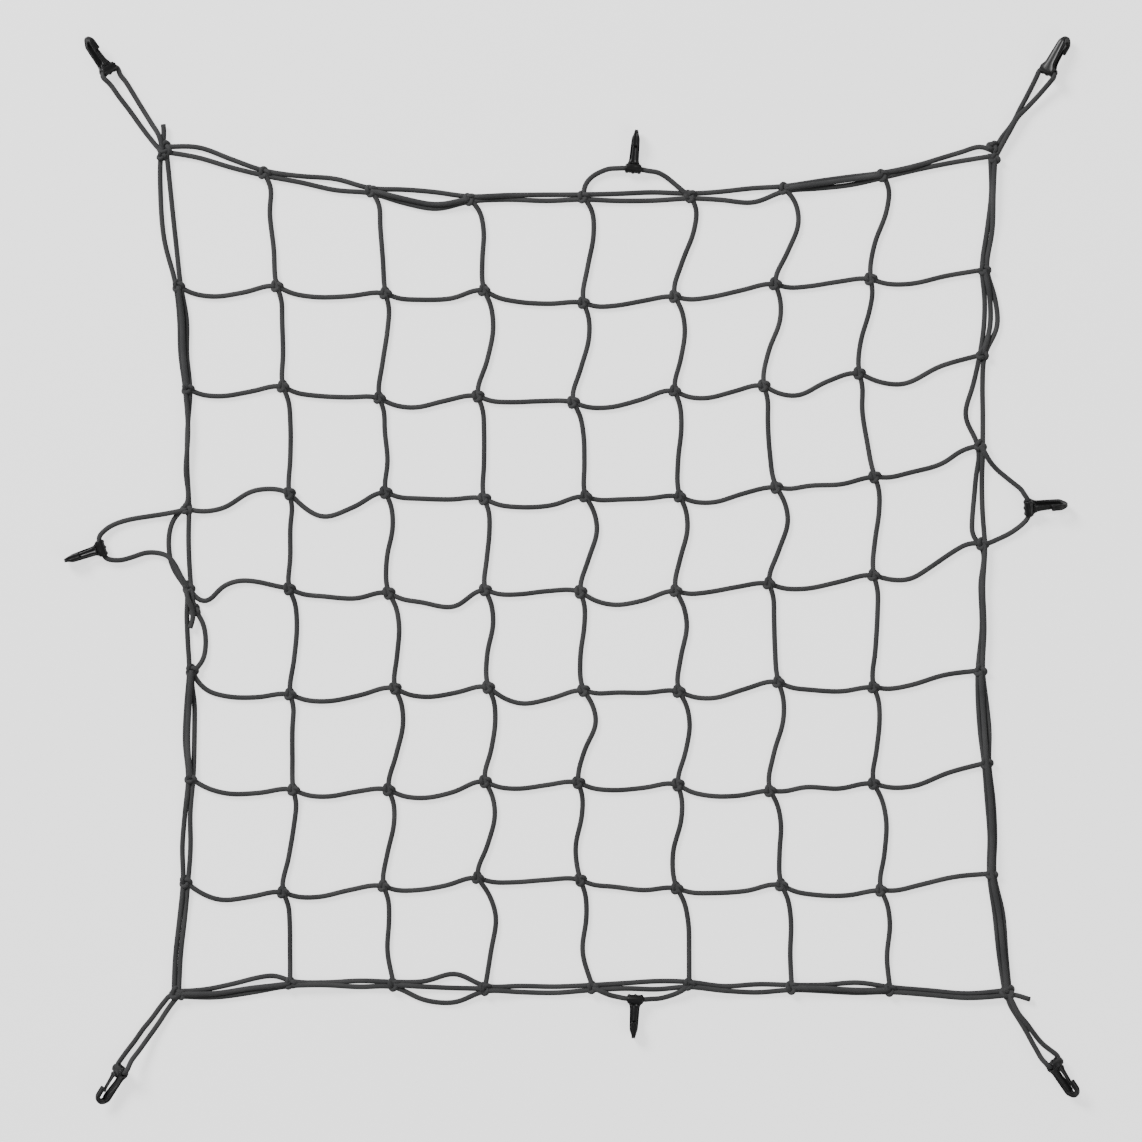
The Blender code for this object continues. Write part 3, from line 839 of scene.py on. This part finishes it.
def bladeRing(outer, inner, half):
    ring = []
    for side in (1, -1):
        section = hookShape["bladeSection"] if side == 1 else hookShape["bladeSection"][::-1]
        for share, wide in section:
            along, across = (a + (b - a) * share for a, b in zip(inner, outer))
            ring.append(Vector((along, across, side * wide * half)) * mm)
    return ring


def straightRings(stations):
    return [bladeRing((along, outer), (along, inner), half) for along, outer, inner, half in stations]


def bladeRings():
    rings = straightRings(hookShape["spine"])
    halves = hookShape["bowHalf"]
    for step, half in enumerate(halves):
        angle = math.pi * (step / (len(halves) - 1) - 0.5)
        outer, inner = ((along + radius * math.cos(angle), across + radius * math.sin(angle))
                        for along, across, radius in (hookShape["outerBow"], hookShape["innerBow"]))
        rings.append(bladeRing(outer, inner, half))
    return rings + straightRings(hookShape["nose"])


def roundBar(radius, length, sides):
    bm = bmesh.new()
    bmesh.ops.create_cone(bm, cap_ends=True, segments=sides, radius1=radius * mm, radius2=radius * mm,
                          depth=length * mm)
    return bm


def roundOff(bm, edges, size):
    bmesh.ops.bevel(bm, geom=edges, offset=size * mm, segments=3, profile=0.5, affect="EDGES",
                    material=-1)


def finishedMesh(solid, helpers=()):
    # Bakes the modifiers in, smooths the shading and clears away what was used
    bpy.context.view_layer.update()
    graph = bpy.context.evaluated_depsgraph_get()
    mesh = bpy.data.meshes.new_from_object(solid.evaluated_get(graph))
    for scratch in (solid, *helpers):
        bpy.data.objects.remove(scratch)
    mesh.shade_smooth()
    mesh.set_sharp_from_angle(angle=math.radians(hookShape["sharpAngle"]))
    return mesh


def hookBodyMesh():
    # Blade, gusset, front plate, barrel and nubs joined, then bored for the cord
    body = sweepRings(bladeRings())
    parts = [sweepRings(straightRings(hookShape["gusset"]))]
    bm = roundBar(hookShape["barrelRadius"], 2 * hookShape["barrelHalf"], 40)
    bmesh.ops.scale(bm, verts=bm.verts, vec=(1, hookShape["barrelStretch"], 1))
    rims = [edge for edge in bm.edges if abs(edge.verts[0].co.z - edge.verts[1].co.z) < 1e-6]
    roundOff(bm, rims, hookShape["barrelEdge"])
    parts.append(scratchObject(bm, "barrel"))
    (back, front), high, half = hookShape["frontPlate"]
    bm = bmesh.new()
    bmesh.ops.create_cube(bm, size=1)
    bmesh.ops.scale(bm, verts=bm.verts, vec=((front - back) * mm, 2 * high * mm, 2 * half * mm))
    bmesh.ops.translate(bm, verts=bm.verts, vec=((front + back) / 2 * mm, 0, 0))
    roundOff(bm, bm.edges[:], hookShape["plateEdge"])
    parts.append(scratchObject(bm, "frontPlate"))
    for along, across, radius in hookShape["nubs"]:
        bm = bmesh.new()
        bmesh.ops.create_uvsphere(bm, u_segments=20, v_segments=12, radius=radius * mm)
        bmesh.ops.scale(bm, verts=bm.verts, vec=hookShape["nubStretch"])
        bmesh.ops.translate(bm, verts=bm.verts, vec=(along * mm, 0, across * mm))
        parts.append(scratchObject(bm, "nub"))
    bore = scratchObject(roundBar(hookShape["boreRadius"], hookShape["boreLength"], 32), "bore")
    for part in parts:
        joining = body.modifiers.new("join", "BOOLEAN")
        joining.operation, joining.object = "UNION", part
    cutting = body.modifiers.new("bore", "BOOLEAN")
    cutting.operation, cutting.object = "DIFFERENCE", bore
    return finishedMesh(body, (bore, *parts))


def gateMesh():
    rings = []
    path = hookShape["gatePath"]
    for i, (along, across, half, thickness) in enumerate(path):
        before, after = path[max(i - 1, 0)], path[min(i + 1, len(path) - 1)]
        normal = Vector((before[1] - after[1], after[0] - before[0])).normalized()
        rings.append([Vector((along + normal.x * thick * thickness,
                              across + normal.y * thick * thickness,
                              wide * half)) * mm for wide, thick in hookShape["gateSection"]])
    return finishedMesh(sweepRings(rings))


def hangHooks(material, hooks):
    bodyMesh, tongueMesh = hookBodyMesh(), gateMesh()
    for name, (place, turn) in hooks.items():
        for kind, source, body in (("hook", bodyMesh, "net"), ("gate", tongueMesh, f"gate_{name}")):
            mesh = source.copy()
            mesh.transform(Matrix.Translation(place) @ turn.to_4x4())
            piece = addPiece(f"{kind}_{name}_plastic", mesh, material, body)
            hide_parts(f"{kind}_{name}")


setStage()
print("stage set")
grain = grainGroup()
cordSheath = cordMaterial(braidGroup(), grain)
hookPlastic = hookMaterial(grain)
print("materials made")
tieKnots(cordSheath)
print("knots tied")
layMesh(cordSheath)
layBorder(cordSheath)
print("net laid")
hooks = hookFrames()
layHookCords(cordSheath, hooks)
hangHooks(hookPlastic, hooks)
print("hooks hung")
